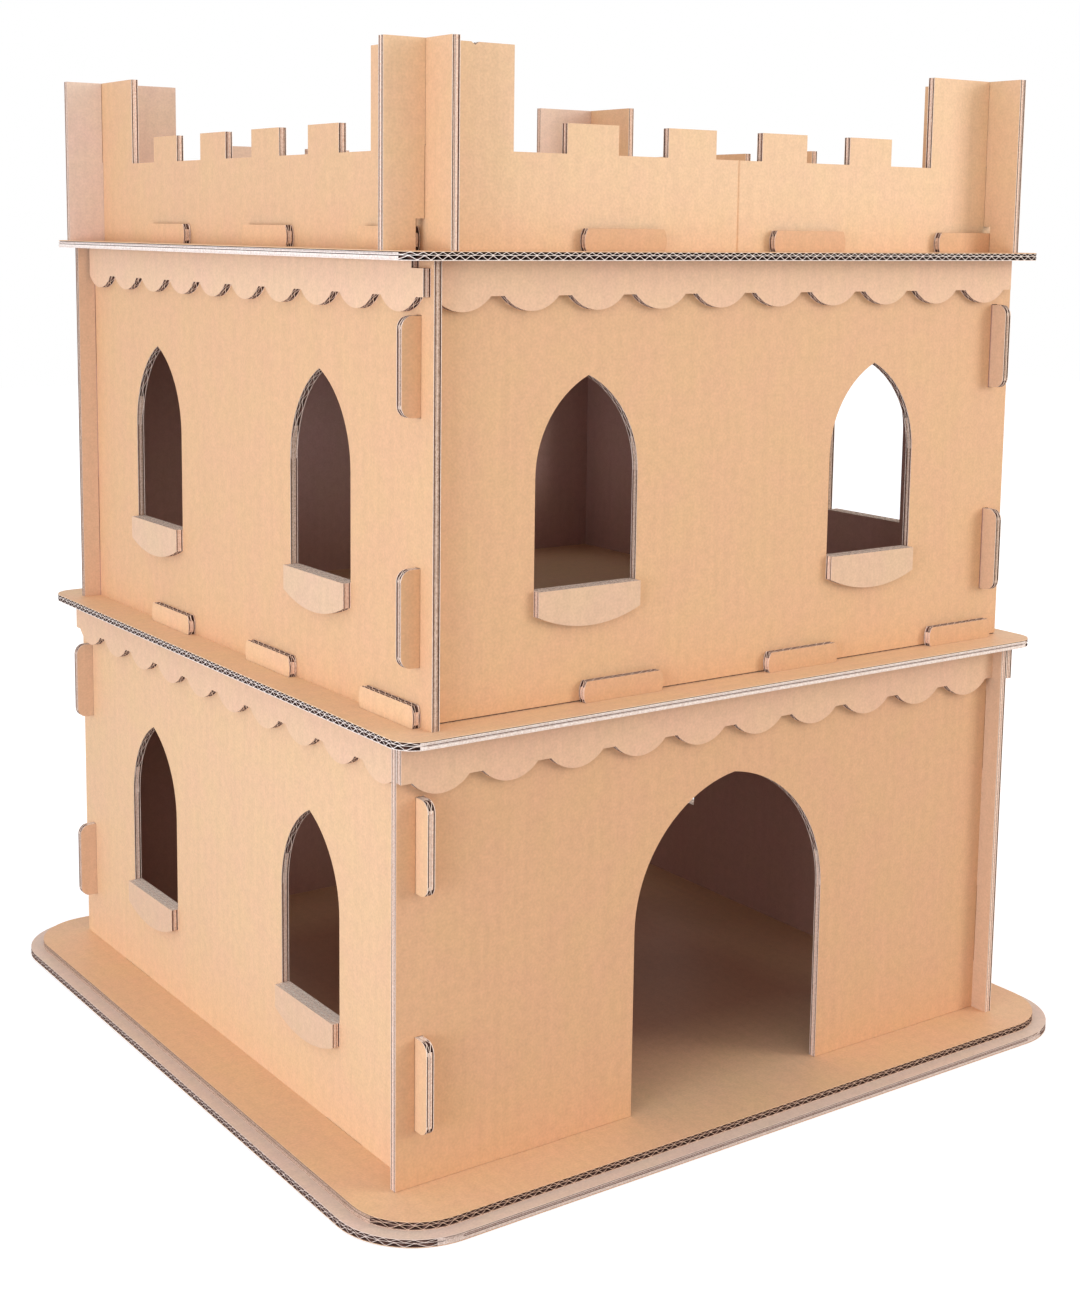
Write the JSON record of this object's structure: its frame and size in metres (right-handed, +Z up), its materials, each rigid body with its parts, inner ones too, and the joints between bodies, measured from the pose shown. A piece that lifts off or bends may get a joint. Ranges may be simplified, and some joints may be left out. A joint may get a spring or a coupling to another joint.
{
  "type": "cardboard play castle",
  "caption": "Two-storey play castle of slotted corrugated boards on a double base, with a door, arched windows, scalloped trims and a battlement round the roof.",
  "frame": {"origin": "middle of the underside of the base", "axes": "+Z up, -Y towards the front with the door, +X towards the right-hand wall seen from the front"},
  "size_m": [0.665, 0.665, 0.767],
  "materials": {
    "base_board": "matt kraft liner, brown",
    "floor_board": "matt kraft liner, brown",
    "wall_board": "matt kraft liner, brown",
    "parapet_board": "matt kraft liner, brown",
    "valance_board": "matt kraft liner, brown",
    "sill_board": "matt kraft liner, brown"
  },
  "bodies": {
    "root": {"back_parapet": "parapet_board", "base_bottom_board": "base_board", "base_top_board": "base_board", "front_parapet": "parapet_board", "left_parapet": "parapet_board", "lower_back_left_sill": "sill_board", "lower_back_right_sill": "sill_board", "lower_back_valance": "valance_board", "lower_back_wall": "wall_board", "lower_front_valance": "valance_board", "lower_front_wall": "wall_board", "lower_left_left_sill": "sill_board", "lower_left_right_sill": "sill_board", "lower_left_valance": "valance_board", "lower_left_wall": "wall_board", "lower_right_left_sill": "sill_board", "lower_right_right_sill": "sill_board", "lower_right_valance": "valance_board", "lower_right_wall": "wall_board", "middle_floor": "floor_board", "right_parapet": "parapet_board", "roof_floor": "floor_board", "upper_back_left_sill": "sill_board", "upper_back_right_sill": "sill_board", "upper_back_valance": "valance_board", "upper_back_wall": "wall_board", "upper_front_left_sill": "sill_board", "upper_front_right_sill": "sill_board", "upper_front_valance": "valance_board", "upper_front_wall": "wall_board", "upper_left_left_sill": "sill_board", "upper_left_right_sill": "sill_board", "upper_left_valance": "valance_board", "upper_left_wall": "wall_board", "upper_right_left_sill": "sill_board", "upper_right_right_sill": "sill_board", "upper_right_valance": "valance_board", "upper_right_wall": "wall_board"}
  },
  "joints": []
}
